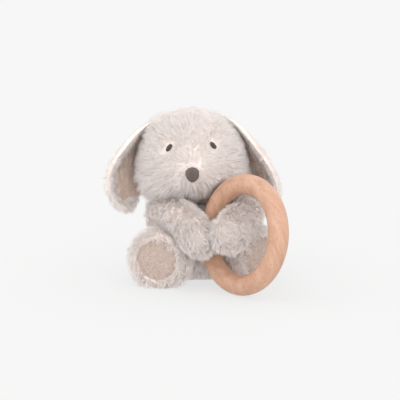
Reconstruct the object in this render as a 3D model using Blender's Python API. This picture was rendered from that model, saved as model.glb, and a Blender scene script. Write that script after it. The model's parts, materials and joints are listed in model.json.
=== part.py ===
"""Plush puppy that hugs a wooden teething ring.

The puppy sits on a flat seat and faces -Y, with +Z up and the middle of its seat at the origin.
"Left" and "right" are the puppy's own, so its left side is +X. Every size is in metres.

Soft parts are sewn covers around stuffing. Each limb ends in a ball that turns in a round socket in
the body, so the seams that flex on the real toy flex here without pieces running into each other.
"""

import math

import bmesh
import bpy
from mathutils import Matrix, Vector

# ------------------------------------------------------------------ clearances and cloth
GAP = 0.0003            # between two pieces that touch
JOINT_GAP = 0.0005      # round a limb that moves in its socket
SQUEEZE_GAP = 0.0012    # between soft parts that lie on each other
COVER_WALL = 0.0012     # backing cloth and the root of its pile
SEAT_WALL = 0.0014

# ------------------------------------------------------------------ body
BODY_HALF_WIDTH = 0.027
BODY_HALF_DEPTH = 0.0225
SEAT_INSET = 0.0045     # how much the seat is narrower than the belly
BELLY_Z = 0.014
CHEST_Z = 0.036
CHEST_HALF_WIDTH = 0.0255
CHEST_HALF_DEPTH = 0.0195
NECK_PIVOT = Vector((-0.002, -0.002, 0.034))
NECK_DOME_R = 0.020
NECK_WAD = 0.0023       # thickness of the stuffing wad between the body and the head
NECK_WAD_ANGLE = math.radians(34)
NECK_EDGE_ANGLE = math.radians(39)      # where the dome meets the shoulders

# ------------------------------------------------------------------ head
HEAD_HALF_WIDTH = 0.031
HEAD_HALF_DEPTH = 0.027
HEAD_RISE = 0.0290      # from the widest level up to the crown
HEAD_FALL = 0.0210      # from the widest level down to the jowls
JOWL_SQUARE = 0.6       # how much squarer than an egg the jowls are
HEAD_OFFSET = Vector((-0.002, -0.003))      # from the neck pivot, in plan
HEAD_SINK = 0.0058      # how deep the neck goes into the head
HEAD_TILT = math.radians(3)
MUZZLE_HEIGHT = 0.0065
MUZZLE_SPREAD = 0.42    # angular size, in radians
MUZZLE_DROP = math.radians(6)
CHEEK_HEIGHT = 0.0016
EYE_HALF = (0.0019, 0.0026)
EYE_SLANT = math.radians(32)
EYE_SPACING = 0.0254
EYE_RISE = 0.0110
NOSE_HALF = (0.0042, 0.0048)
NOSE_DROP = 0.0038
EMBROIDERY = 0.0010     # thickness of a satin-stitch patch

# ------------------------------------------------------------------ ears
EAR_DROP = 0.0520       # from the seam down to the tip
EAR_SHOULDER = {"right": 0.0032, "left": -0.0010}   # from the side of the head out to the curve's
EAR_FLARE = {"right": 0.0165, "left": 0.0100}       # three lower control points
EAR_TIP_OUT = {"right": 0.0095, "left": 0.0165}
EAR_SEAM = Vector((0.66, 0.07, 0.75))               # direction of the seam from the middle of the head
EAR_ROOT_HALF = 0.0060
EAR_ROOT_SHARE = 0.45   # thickness at the seam, of the ear's thickness
EAR_HALF_WIDTH = 0.0142
EAR_THICK = 0.0024
EAR_LINING = 0.0010
EAR_RIM = 0.0026        # plush that shows round the lining
EAR_CUP = 0.0018
EAR_FORWARD = 0.12      # slope of the hanging ear towards the face
EAR_TURN = {"right": (math.radians(8), math.radians(50)), "left": (math.radians(8), math.radians(34))}
EAR_STATIONS = (0.0, 0.12, 0.24, 0.33, 0.41, 0.48, 0.55, 0.63, 0.72, 0.82, 0.91, 0.97, 1.0)

# ------------------------------------------------------------------ ring
RING_OUTER_R = 0.0356
RING_TUBE_R = 0.006
RING_YAW = math.radians(50)
RING_LEAN = math.radians(9.5)
RING_FAR_X = 0.0070     # where the limb behind the paws stands
RING_BODY_CLEAR = 0.0086
RING_HEAD_CLEAR = 0.0034    # least room between the tube and the face

# ------------------------------------------------------------------ arms
SHOULDER_X = 0.0215
SHOULDER_Y = -0.008
SHOULDER_Z = 0.0390
ARM_ROOT_R = 0.0090
PAW_R = 0.0088
PAW_GAP = 0.0018
PAW_OFFSET = Vector((-0.0064, -0.0024, -0.0036))   # of the right paw, from straight in front of the ring
PAW_TO_PAW = Vector((0.880, -0.427, 0.213))
ELBOW_ASIDE = {"right": Vector((0.0110, 0.0056, 0.0)), "left": Vector((-0.0044, -0.0032, 0.0))}
ARM_LIFT = math.radians(4)
PAW_STITCH_R = 0.0016

# ------------------------------------------------------------------ legs
HIP_X = 0.0135
HIP_Y = -0.007
LEG_ROOT_R = 0.012
FOOT_R = 0.017
FOOT_ROUND = 0.006      # rounding between the foot's side and its sole
LEG_REACH = {"right": 0.0320, "left": 0.0266}
LEG_SPLAY = {"right": math.radians(18), "left": math.radians(43.5)}
LEG_SWING = {"right": (-3, 15), "left": (-2, 8)}     # degrees outward
SOLE_R = 0.0122
SOLE_THICK = 0.0011
SOLE_DOME = 0.0016

# ------------------------------------------------------------------ tail
TAIL_ROOT_R = 0.0052
TAIL_END_R = 0.0046
TAIL_LENGTH = 0.016
TAIL_Z = 0.015
TAIL_RISE = math.radians(35)
TAIL_WAG = math.radians(15)

# ------------------------------------------------------------------ rattle
RATTLE_CENTER = Vector((-0.001, 0.005, 0.033))
RATTLE_R = 0.0085
RATTLE_WALL = 0.0010
BEAD_R = 0.0019
BEAD_SPREAD = 0.0032
BEAD_COUNT = 3

# ------------------------------------------------------------------ colours, linear
COLORS = {
    "plush_fur": (0.72, 0.63, 0.59),
    "ear_lining": (0.55, 0.40, 0.34),
    "sole_fabric": (0.64, 0.52, 0.46),
    "embroidery": (0.16, 0.13, 0.12),
    "beech": (0.76, 0.50, 0.34),
    "stuffing": (0.86, 0.86, 0.85),
    "rattle_plastic": (0.78, 0.78, 0.80),
    "bead": (0.62, 0.12, 0.10),
    "stitch": (0.66, 0.58, 0.54),
}
ROUGHNESS = {"beech": 0.45, "rattle_plastic": 0.4, "bead": 0.35}

BODY_SEGMENTS = 26
RING_LOOPS = 40
HEAD_SEGMENTS = 24


# ------------------------------------------------------------------ scene and objects
def clear_scene():
    for obj in list(bpy.data.objects):
        bpy.data.objects.remove(obj, do_unlink=True)


def material(kind, name):
    """One Principled material for one object."""
    mat = bpy.data.materials.new(name)
    mat.use_nodes = True
    shader = mat.node_tree.nodes["Principled BSDF"]
    shader.inputs["Base Color"].default_value = (*COLORS[kind], 1.0)
    shader.inputs["Roughness"].default_value = ROUGHNESS.get(kind, 0.95)
    shader.inputs["Metallic"].default_value = 0.0
    mat.diffuse_color = (*COLORS[kind], 1.0)
    return mat


def pivot(name, location, parent=None, rotation=None):
    """An empty on a joint's axis."""
    empty = bpy.data.objects.new(name, None)
    empty.empty_display_size = 0.01
    bpy.context.collection.objects.link(empty)
    place(empty, location, parent, rotation)
    return empty


def place(obj, location, parent=None, rotation=None):
    """Put an object at a world location; a parent here has no scale."""
    world = Matrix.Translation(location)
    if rotation is not None:
        world = world @ rotation.to_4x4()
    if parent is not None:
        obj.parent = parent
        world = parent_matrix(parent).inverted() @ world
    obj.matrix_basis = world


def parent_matrix(obj):
    """World matrix from the chain of parents."""
    if obj.parent is None:
        return obj.matrix_basis.copy()
    return parent_matrix(obj.parent) @ obj.matrix_basis


def piece(name, kind, bm, origin, parent=None, rotation=None):
    """Turn a bmesh in world space into a named object whose origin is at the given point.

    With a rotation, the bmesh is in the turned frame around the origin instead.
    """
    if rotation is None:
        bmesh.ops.translate(bm, verts=bm.verts, vec=-Vector(origin))
    bmesh.ops.recalc_face_normals(bm, faces=bm.faces)
    mesh = bpy.data.meshes.new(name)
    bm.to_mesh(mesh)
    bm.free()
    mesh.materials.append(material(kind, name))
    mesh.shade_smooth()
    mesh.set_sharp_from_angle(angle=math.radians(50))
    obj = bpy.data.objects.new(name, mesh)
    bpy.context.collection.objects.link(obj)
    place(obj, origin, parent, rotation)
    return obj


def cutter(name, bm, origin, rotation=None):
    """A shape that only cuts others; its bmesh is around the given origin."""
    bmesh.ops.recalc_face_normals(bm, faces=bm.faces)
    mesh = bpy.data.meshes.new(name)
    bm.to_mesh(mesh)
    bm.free()
    obj = bpy.data.objects.new(name, mesh)
    bpy.context.collection.objects.link(obj)
    obj.hide_render = True
    obj.display_type = "WIRE"
    place(obj, origin, None, rotation)
    return obj


def cut(obj, tool, operation="DIFFERENCE"):
    mod = obj.modifiers.new(tool.name, "BOOLEAN")
    mod.operation = operation
    mod.object = tool
    mod.solver = "EXACT"


# ------------------------------------------------------------------ surfaces made of rings
def circle(center, side, up, half_side, half_up, segments):
    """Points of an ellipse around a center, in the plane of side and up."""
    points = []
    for k in range(segments):
        angle = 2 * math.pi * k / segments
        points.append(center + side * (half_side * math.cos(angle)) + up * (half_up * math.sin(angle)))
    return points


def skin(bm, rings, first_pole=None, last_pole=None):
    """Join rings of points into a surface, and close it at the poles that are given."""
    rows = [[bm.verts.new(point) for point in ring] for ring in rings]
    for lower, upper in zip(rows, rows[1:]):
        band(bm, lower, upper)
    for row, pole in ((rows[0], first_pole), (rows[-1], last_pole)):
        if pole is not None:
            tip = bm.verts.new(pole)
            for k in range(len(row)):
                bm.faces.new((row[k], row[(k + 1) % len(row)], tip))
    return rows


def band(bm, lower, upper):
    """Triangles between two rings, always split the same way, so nested surfaces match."""
    count = len(lower)
    for k in range(count):
        nxt = (k + 1) % count
        bm.faces.new((lower[k], lower[nxt], upper[nxt]))
        bm.faces.new((lower[k], upper[nxt], upper[k]))


def cap(bm, row):
    bm.faces.new(row)


def shell(outer, inner, outer_pole=None, inner_pole=None):
    """A wall between two surfaces with the same rings, joined round every open end."""
    bm = bmesh.new()
    out_rows = skin(bm, outer, last_pole=outer_pole)
    in_rows = skin(bm, inner, last_pole=inner_pole)
    band(bm, out_rows[0], in_rows[0])
    if outer_pole is None:
        band(bm, out_rows[-1], in_rows[-1])
    return bm


def ball(radius, rings=8, segments=16):
    bm = bmesh.new()
    bmesh.ops.create_uvsphere(bm, u_segments=segments, v_segments=rings, radius=radius)
    return bm


def smooth(low, high, value):
    x = min(max((value - low) / (high - low), 0.0), 1.0)
    return x * x * (3 - 2 * x)


# ------------------------------------------------------------------ limbs
class Limb:
    """A soft limb along a curve from its pivot, with a ball at the root."""

    def __init__(self, root, middle, end, radius, foot=False, stations=6, segments=12):
        self.root = root
        self.end = end
        self.bend = middle * 2 - (root + end) * 0.5
        self.radius = radius
        self.foot = foot
        self.stations = stations
        self.segments = segments

    def point(self, t):
        return self.root * (1 - t) ** 2 + self.bend * (2 * t * (1 - t)) + self.end * t ** 2

    def direction(self, t):
        return ((self.bend - self.root) * (1 - t) + (self.end - self.bend) * t).normalized()

    def frame(self, t):
        along = self.direction(t)
        side = along.cross(Vector((0, 0, 1))).normalized()
        return along, side, side.cross(along)

    def rings(self, inset, root_angle):
        """Rings from the root to the end, drawn in by an inset.

        root_angle is the polar angle, from the back of the root ball, at which the rings start.
        """
        found = []
        cap_rings = 3
        along, side, up = self.frame(0.0)
        r = self.radius(0.0) - inset
        for k in range(cap_rings):
            angle = root_angle + (math.pi / 2 - root_angle) * k / cap_rings
            center = self.root - along * (r * math.cos(angle))
            ring_r = r * math.sin(angle)
            found.append(circle(center, side, up, ring_r, ring_r, self.segments))
        for k in range(self.stations):
            t = k / (self.stations - 1)
            along, side, up = self.frame(t)
            r = self.radius(t) - inset
            found.append(circle(self.point(t), side, up, r, r, self.segments))
        for k in range(1, cap_rings + (1 if self.foot else 0)):
            angle = math.pi / 2 * k / cap_rings
            if self.foot:
                face_r = SOLE_R + GAP
                ring_r = face_r + (r - face_r) * math.cos(angle)
                reach = (FOOT_ROUND - inset) * math.sin(angle)
            else:
                ring_r = r * math.cos(angle)
                reach = r * math.sin(angle)
            found.append(circle(self.end + along * reach, side, up, ring_r, ring_r, self.segments))
        return found

    def tip(self, inset):
        reach = FOOT_ROUND - inset if self.foot else self.radius(1.0) - inset
        return self.end + self.direction(1.0) * reach

    def back(self, inset):
        return self.root - self.direction(0.0) * (self.radius(0.0) - inset)

    def cover(self):
        """The sewn cover: open inside the socket, and at a foot's sole."""
        root_angle = math.radians(50)
        outer = self.rings(0.0, root_angle)
        inner = self.rings(COVER_WALL, root_angle)
        if self.foot:
            return shell(outer, inner)
        return shell(outer, inner, self.tip(0.0), self.tip(COVER_WALL))

    def solid(self, inset):
        """A closed solid, drawn in by an inset, or swollen by a negative one."""
        bm = bmesh.new()
        root_angle = math.radians(28)
        rings = self.rings(inset, root_angle)
        skin(bm, rings, self.back(inset), self.tip(inset))
        return bm

    def room(self, name, axis, turns, reach):
        """Cutter for the room that the root end takes as the limb turns about its pivot."""
        bm = bmesh.new()
        along, side, up = self.frame(0.0)
        radius = self.radius(0.0) + JOINT_GAP
        points = []
        for angle in (0.0, math.radians(30), math.radians(60)):
            center = -along * (radius * math.cos(angle))
            ring_r = radius * math.sin(angle)
            points += circle(center, side, up, ring_r, ring_r, self.segments)
        for k in range(4):
            t = reach * k / 3
            along, side, up = self.frame(t)
            radius = self.radius(t) + JOINT_GAP
            points += circle(self.point(t) - self.root, side, up, radius, radius, self.segments)
        for turn in turns:
            spin = Matrix.Rotation(turn, 3, axis)
            for point in points:
                bm.verts.new(spin @ point)
        bmesh.ops.remove_doubles(bm, verts=bm.verts, dist=0.00002)
        hull = bmesh.ops.convex_hull(bm, input=bm.verts)
        bmesh.ops.delete(bm, geom=hull["geom_interior"], context="VERTS")
        return cutter(name, bm, self.root)


# ------------------------------------------------------------------ shared places
def ring_frame():
    """In-plane axes, normal and center of the wooden ring, which stands on the floor."""
    across = Vector((math.cos(RING_YAW), -math.sin(RING_YAW), 0.0))
    level = Vector((math.sin(RING_YAW), math.cos(RING_YAW), 0.0))
    rise = level * math.sin(RING_LEAN) + Vector((0, 0, math.cos(RING_LEAN)))
    normal = across.cross(rise)
    mean_r = RING_OUTER_R - RING_TUBE_R
    far = Vector((RING_FAR_X, -(BODY_HALF_DEPTH + RING_BODY_CLEAR), mean_r * math.cos(RING_LEAN) + RING_TUBE_R))
    step = 0.0002
    while head_room(far + across * mean_r, across, rise, mean_r) < RING_TUBE_R + RING_HEAD_CLEAR:
        far.y -= step
    return across, rise, normal, far + across * mean_r


def head_room(center, across, rise, mean_r):
    """Least distance, along lines from the middle of the head, between its surface and a circle."""
    room = 1.0
    middle = head_center()
    for k in range(RING_LOOPS):
        angle = 2 * math.pi * k / RING_LOOPS
        spot = center + (across * math.cos(angle) + rise * math.sin(angle)) * mean_r - middle
        room = min(room, spot.length - head_point(spot).length)
    return room


def foot_center(side):
    """Middle of the foot's widest section, resting on the floor."""
    sign = 1 if side == "left" else -1
    out = math.sin(LEG_SPLAY[side]) * LEG_REACH[side]
    forward = math.cos(LEG_SPLAY[side]) * LEG_REACH[side]
    return Vector((sign * (HIP_X + out), HIP_Y - forward, FOOT_R + GAP))


def leg(side):
    sign = 1 if side == "left" else -1
    hip = Vector((sign * HIP_X, HIP_Y, FOOT_R + GAP))
    foot = foot_center(side)

    def radius(t):
        return LEG_ROOT_R + (FOOT_R - LEG_ROOT_R) * smooth(0.3, 0.95, t)

    return Limb(hip, (hip + foot) * 0.5, foot, radius, foot=True)


def arm(side):
    """An arm that lies on the foot below it and ends at the ring's far limb."""
    sign = 1 if side == "left" else -1
    shoulder = Vector((sign * SHOULDER_X, SHOULDER_Y, SHOULDER_Z))
    across, _, _, center = ring_frame()
    far_limb = center - across * (RING_OUTER_R - RING_TUBE_R)
    paw = far_limb + Vector((0, -(RING_TUBE_R + PAW_R), 0)) + PAW_OFFSET
    if side == "left":
        paw += PAW_TO_PAW.normalized() * (2 * PAW_R + PAW_GAP)
    foot = foot_center(side)
    stack = FOOT_R + (ARM_ROOT_R + PAW_R) / 2 + SQUEEZE_GAP
    aside = ELBOW_ASIDE[side]
    elbow = foot + Vector((aside.x, aside.y, math.sqrt(stack ** 2 - aside.length_squared)))

    def radius(t):
        return ARM_ROOT_R + (PAW_R - ARM_ROOT_R) * t

    return Limb(shoulder, elbow, paw, radius)


def tail():
    root = Vector((0.0, BODY_HALF_DEPTH - TAIL_ROOT_R + 0.001, TAIL_Z))
    end = root + Vector((0.0, math.cos(TAIL_RISE), math.sin(TAIL_RISE))) * TAIL_LENGTH

    def radius(t):
        return TAIL_ROOT_R + (TAIL_END_R - TAIL_ROOT_R) * t

    bow = Vector((0, 0.0008, -0.0008))
    return Limb(root, (root + end) * 0.5 + bow, end, radius, stations=3, segments=10)


# ------------------------------------------------------------------ body
def body_rings(inset, floor):
    """Level rings from the floor to the neck dome, drawn in by an inset."""
    rings = []

    def level(z, half_width, half_depth, center):
        rings.append(circle(Vector((center.x, center.y, z)), Vector((1, 0, 0)), Vector((0, 1, 0)),
                            half_width - inset, half_depth - inset, BODY_SEGMENTS))

    for k in range(3):
        z = floor + (BELLY_Z - floor) * k / 3
        narrow = SEAT_INSET * (1 - z / BELLY_Z) ** 2
        level(z, BODY_HALF_WIDTH - narrow, BODY_HALF_DEPTH - narrow, Vector((0, 0, 0)))
    for k in range(3):
        part = k / 3
        share = smooth(0.0, 1.0, part)
        level(BELLY_Z + (CHEST_Z - BELLY_Z) * part,
              BODY_HALF_WIDTH + (CHEST_HALF_WIDTH - BODY_HALF_WIDTH) * share,
              BODY_HALF_DEPTH + (CHEST_HALF_DEPTH - BODY_HALF_DEPTH) * share,
              NECK_PIVOT * (share / 2))
    edge_r = NECK_DOME_R * math.sin(NECK_EDGE_ANGLE)
    edge_z = NECK_PIVOT.z + NECK_DOME_R * math.cos(NECK_EDGE_ANGLE)
    for k in range(4):
        angle = math.pi / 2 * k / 4
        z = CHEST_Z + (edge_z - CHEST_Z) * math.sin(angle) - inset * math.sin(angle)
        share = 1 - math.cos(angle)
        level(z, CHEST_HALF_WIDTH + (edge_r - CHEST_HALF_WIDTH) * share,
              CHEST_HALF_DEPTH + (edge_r - CHEST_HALF_DEPTH) * share,
              NECK_PIVOT * (0.5 + share / 2))
    dome_r = NECK_DOME_R - inset
    for k in range(3):
        angle = NECK_EDGE_ANGLE * (1 - k / 3)
        ring_r = dome_r * math.sin(angle)
        center = NECK_PIVOT + Vector((0, 0, dome_r * math.cos(angle)))
        rings.append(circle(center, Vector((1, 0, 0)), Vector((0, 1, 0)), ring_r, ring_r, BODY_SEGMENTS))
    return rings, NECK_PIVOT + Vector((0, 0, dome_r))


def half_space(name, sign):
    """Everything in front of the side seams (sign -1) or behind them (sign +1)."""
    reach = 0.2
    bm = bmesh.new()
    bmesh.ops.create_cube(bm, size=reach)
    return cutter(name, bm, Vector((0, sign * (reach + GAP) / 2, 0)))


def build_body(sockets):
    halves = {"front": half_space("front_room", -1), "back": half_space("back_room", 1)}
    floor = SEAT_WALL + GAP
    outer, outer_pole = body_rings(0.0, floor)
    inner, inner_pole = body_rings(COVER_WALL, floor)
    core, core_pole = body_rings(COVER_WALL + GAP, floor)
    rattle_room = cutter("rattle_room", ball(RATTLE_R + GAP, 8, 14), RATTLE_CENTER)
    for half, room in halves.items():
        panel = piece(f"body_panel_{half}", "plush_fur", shell(outer, inner, outer_pole, inner_pole), (0, 0, 0))
        bm = bmesh.new()
        rows = skin(bm, core, last_pole=core_pole)
        cap(bm, rows[0])
        stuffing = piece(f"body_stuffing_{half}", "stuffing", bm, (0, 0, 0))
        for obj in (panel, stuffing):
            cut(obj, room, "INTERSECT")
            for tool in sockets:
                cut(obj, tool)
        cut(stuffing, rattle_room)


def build_seat():
    """Flat oval panel under the body."""
    bm = bmesh.new()
    half_width = BODY_HALF_WIDTH - SEAT_INSET
    half_depth = BODY_HALF_DEPTH - SEAT_INSET
    rings = []
    for z in (0.0, SEAT_WALL):
        rings.append(circle(Vector((0, 0, z)), Vector((1, 0, 0)), Vector((0, 1, 0)),
                            half_width, half_depth, BODY_SEGMENTS))
    rows = skin(bm, rings)
    cap(bm, rows[0])
    cap(bm, rows[1])
    piece("seat_panel", "plush_fur", bm, (0, 0, 0))


def build_rattle():
    """Two plastic cups with loose beads between them."""
    for name, sign in (("rattle_shell_upper", 1), ("rattle_shell_lower", -1)):
        rings = {}
        for radius in (RATTLE_R, RATTLE_R - RATTLE_WALL):
            rings[radius] = []
            for k in range(4):
                angle = math.pi / 2 * (1 - k / 4)
                height = sign * (radius * math.cos(angle) + GAP / 2)
                ring_r = radius * math.sin(angle)
                center = RATTLE_CENTER + Vector((0, 0, height))
                rings[radius].append(circle(center, Vector((1, 0, 0)), Vector((0, 1, 0)), ring_r, ring_r, 14))
        outer, inner = rings.values()
        poles = []
        for radius in rings:
            poles.append(RATTLE_CENTER + Vector((0, 0, sign * (radius + GAP / 2))))
        piece(name, "rattle_plastic", shell(outer, inner, *poles), RATTLE_CENTER)
    reach = RATTLE_R - RATTLE_WALL - BEAD_R - GAP
    rest_drop = math.sqrt(reach ** 2 - BEAD_SPREAD ** 2) - GAP
    for k in range(BEAD_COUNT):
        angle = 2 * math.pi * k / BEAD_COUNT
        aside = Vector((math.cos(angle), math.sin(angle), 0)) * BEAD_SPREAD
        center = RATTLE_CENTER + aside - Vector((0, 0, rest_drop))
        bm = ball(BEAD_R, 5, 8)
        bmesh.ops.translate(bm, verts=bm.verts, vec=center)
        piece(f"rattle_bead_{k + 1}", "bead", bm, center)


# ------------------------------------------------------------------ head
def neck_head_radius():
    """Radius, around the neck pivot, of the hollow under the head."""
    return NECK_DOME_R + NECK_WAD + 2 * GAP


def head_center():
    rise = neck_head_radius() - HEAD_SINK + HEAD_FALL
    return NECK_PIVOT + Vector((HEAD_OFFSET.x, HEAD_OFFSET.y, rise))


def head_point(direction, inset=0.0):
    """Point of the head's surface in a direction from its middle: an egg with muzzle and cheeks."""
    d = direction.normalized()
    power = 2.0 + JOWL_SQUARE * smooth(-0.15, 0.45, -d.z)
    height = HEAD_RISE if d.z > 0 else HEAD_FALL
    shares = (d.x / HEAD_HALF_WIDTH, d.y / HEAD_HALF_DEPTH, d.z / height)
    radius = sum(abs(share) ** power for share in shares) ** (-1 / power)
    muzzle = Vector((0, -math.cos(MUZZLE_DROP), -math.sin(MUZZLE_DROP)))
    radius += MUZZLE_HEIGHT * math.exp(-(d.angle(muzzle) / MUZZLE_SPREAD) ** 2)
    for sign in (-1, 1):
        cheek = Vector((sign * 0.66, -0.66, -0.36))
        radius += CHEEK_HEIGHT * math.exp(-(d.angle(cheek) / 0.5) ** 2)
    return d * (radius - inset)


def head_half(sign, inset, rings=7):
    """Rings from the middle seam to the side of the head; sign +1 is the puppy's left."""
    rows = []
    for k in range(rings):
        polar = math.pi / 2 * (1 - k / rings)
        row = []
        for j in range(HEAD_SEGMENTS):
            turn = 2 * math.pi * j / HEAD_SEGMENTS
            d = Vector((math.cos(polar) * sign, math.sin(polar) * math.cos(turn), math.sin(polar) * math.sin(turn)))
            point = head_point(d, inset)
            point.x += sign * GAP / 2
            row.append(point)
        rows.append(row)
    pole = head_point(Vector((sign, 0, 0)), inset)
    pole.x += sign * GAP / 2
    return rows, pole


def patch(center, half, slant, taper=0.0, thickness=EMBROIDERY, segments=12):
    """A stitched patch that follows the head's surface; taper narrows it downwards."""
    bm = bmesh.new()
    normal = (head_point(center + Vector((0.001, 0, 0))) - head_point(center)).cross(
        head_point(center + Vector((0, 0, 0.001))) - head_point(center)).normalized()
    if normal.y > 0:
        normal = -normal
    layers = []
    base = 2 * GAP
    for share, lift in ((1.0, base), (1.0, base + thickness * 0.5), (0.62, base + thickness)):
        row = []
        for k in range(segments):
            angle = 2 * math.pi * k / segments
            x = half[0] * share * math.cos(angle)
            z = half[1] * share * math.sin(angle)
            x *= 1.0 + taper * z / half[1]
            turned = Vector((x * math.cos(slant) + z * math.sin(slant), 0, z * math.cos(slant) - x * math.sin(slant)))
            row.append(head_point(center + turned) + normal * lift)
        layers.append(row)
    middle = head_point(center)
    skin(bm, layers, middle + normal * base, middle + normal * (base + thickness * 1.25))
    return bm


def build_head(neck):
    center = head_center()
    tilt = Matrix.Rotation(-HEAD_TILT, 3, "Y")
    hollow = cutter("neck_hollow", ball(neck_head_radius(), 14, 24), NECK_PIVOT)
    for side, sign in (("left", 1), ("right", -1)):
        outer, outer_pole = head_half(sign, 0.0)
        inner, inner_pole = head_half(sign, COVER_WALL)
        panel = piece(f"head_panel_{side}", "plush_fur", shell(outer, inner, outer_pole, inner_pole),
                      center, neck, tilt)
        cut(panel, hollow)
    inset = COVER_WALL + GAP
    bm = bmesh.new()
    seams = []
    for sign in (-1, 1):
        rings, pole = head_half(sign, inset)
        seams.append(skin(bm, rings, last_pole=pole)[0])
    band(bm, *seams)
    stuffing = piece("head_stuffing", "stuffing", bm, center, neck, tilt)
    cut(stuffing, hollow)
    for side, sign in (("left", 1), ("right", -1)):
        eye = patch(on_front(sign * EYE_SPACING / 2, EYE_RISE), EYE_HALF, -sign * EYE_SLANT)
        piece(f"eye_{side}", "embroidery", eye, center, neck, tilt)
    nose = patch(on_front(0.0, -NOSE_DROP), NOSE_HALF, 0.0, 0.16, EMBROIDERY * 1.4)
    piece("nose", "embroidery", nose, center, neck, tilt)
    build_ears(neck, center, tilt)


def on_front(x, z):
    """The head's surface straight behind a place in front of the face."""
    depth = HEAD_HALF_DEPTH
    for _ in range(12):
        spot = Vector((x, -depth, z))
        depth *= head_point(spot).length / spot.length
    return Vector((x, -depth, z))


# ------------------------------------------------------------------ ears
class Ear:
    """A hanging flap along a curve, in the head's frame; sign +1 is the puppy's left."""

    def __init__(self, side, sign):
        self.sign = sign
        self.turn = EAR_TURN[side]
        seam = head_point(EAR_SEAM)
        lift = EAR_LINING + 5 * GAP
        root = seam + seam.normalized() * lift
        outs = (EAR_SHOULDER[side], EAR_FLARE[side], EAR_TIP_OUT[side])
        drops = (EAR_DROP * 0.06, EAR_DROP / 2, EAR_DROP)
        self.controls = [root]
        for out, drop in zip(outs, drops):
            self.controls.append(Vector((HEAD_HALF_WIDTH + out, root.y - EAR_FORWARD * drop, root.z - drop)))

    def center(self, t):
        a, b, c, d = self.controls
        return a * (1 - t) ** 3 + b * (3 * t * (1 - t) ** 2) + c * (3 * t * t * (1 - t)) + d * t ** 3

    def point(self, t, aside, offset):
        """aside runs from the back edge to the front edge; offset is towards the head."""
        step = 0.01
        along = (self.center(min(t + step, 1.0)) - self.center(max(t - step, 0.0))).normalized()
        turn = self.turn[0] + (self.turn[1] - self.turn[0]) * smooth(0.2, 0.8, t)
        cross = Vector((math.sin(turn), -math.cos(turn), 0))
        inward = along.cross(cross).normalized()
        cup = EAR_CUP * (aside / EAR_HALF_WIDTH) ** 2 * smooth(0.15, 0.6, t)
        found = self.center(t) + cross * aside + inward * (offset + cup)
        return Vector((found.x * self.sign, found.y, found.z))

    def half_width(self, t):
        width = EAR_ROOT_HALF + (EAR_HALF_WIDTH - EAR_ROOT_HALF) * smooth(0.0, 0.6, t)
        width *= 0.7 + 0.3 * smooth(0.0, 0.12, t)
        round_start = 0.7
        if t > round_start:
            width *= math.sqrt(max(1 - ((t - round_start) / (1 - round_start)) ** 2, 0.03))
        return width

    def plate(self, low, high, rim, stations):
        """A flap between two offsets, narrower than the ear by the rim and thinner at the seam."""
        bm = bmesh.new()
        columns = 5
        rows = []
        for t in stations:
            half = max(self.half_width(t) - rim, EAR_RIM / 2)
            spread = [half * (2 * j / (columns - 1) - 1) for j in range(columns)]
            share = EAR_ROOT_SHARE + (1 - EAR_ROOT_SHARE) * smooth(0.0, 0.3, t) if low < 0 else 1.0
            loop = [self.point(t, aside, low * share) for aside in spread]
            loop += [self.point(t, aside, high) for aside in reversed(spread)]
            rows.append(loop)
        made = skin(bm, rows)
        cap(bm, made[0])
        cap(bm, made[-1])
        return bm


def build_ears(neck, center, tilt):
    for side, sign in (("left", 1), ("right", -1)):
        ear = Ear(side, sign)
        root = Vector((ear.controls[0].x * sign, ear.controls[0].y, ear.controls[0].z))
        hinge = pivot(f"ear_{side}_hinge", center + tilt @ root, neck, tilt)
        outer = ear.plate(-EAR_THICK, 0.0, 0.0, EAR_STATIONS)
        lining = ear.plate(2 * GAP, 2 * GAP + EAR_LINING, EAR_RIM, EAR_STATIONS[1:-2])
        for name, kind, bm in (("outer", "plush_fur", outer), ("lining", "ear_lining", lining)):
            bmesh.ops.translate(bm, verts=bm.verts, vec=-root)
            piece(f"ear_{side}_{name}", kind, bm, center + tilt @ root, hinge, tilt)


def build_neck(neck):
    """Dome of stuffing that the head turns and nods on."""
    layers = []
    poles = []
    for radius in (NECK_DOME_R + NECK_WAD + GAP, NECK_DOME_R + GAP):
        rows = []
        for k in range(4):
            angle = NECK_WAD_ANGLE * (1 - k / 4)
            center = NECK_PIVOT + Vector((0, 0, radius * math.cos(angle)))
            ring_r = radius * math.sin(angle)
            rows.append(circle(center, Vector((1, 0, 0)), Vector((0, 1, 0)), ring_r, ring_r, 20))
        layers.append(rows)
        poles.append(NECK_PIVOT + Vector((0, 0, radius)))
    piece("neck_stuffing", "stuffing", shell(*layers, *poles), NECK_PIVOT, neck)


# ------------------------------------------------------------------ limbs, tail and ring
def build_limb(name, limb, parent):
    piece(f"{name}_cover", "plush_fur", limb.cover(), limb.root, parent)
    piece(f"{name}_stuffing", "stuffing", limb.solid(COVER_WALL + GAP), limb.root, parent)


def build_sole(name, limb, parent):
    """Round pad sewn into the opening at the end of a foot."""
    along, side, up = limb.frame(1.0)
    face = limb.tip(0.0)
    rings = []
    for radius, reach in ((SOLE_R, -SOLE_THICK), (SOLE_R, 0.0), (SOLE_R * 0.72, SOLE_DOME * 0.7)):
        rings.append(circle(face + along * reach, side, up, radius, radius, limb.segments))
    bm = bmesh.new()
    rows = skin(bm, rings, None, face + along * SOLE_DOME)
    cap(bm, rows[0])
    piece(name, "sole_fabric", bm, limb.root, parent)


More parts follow.
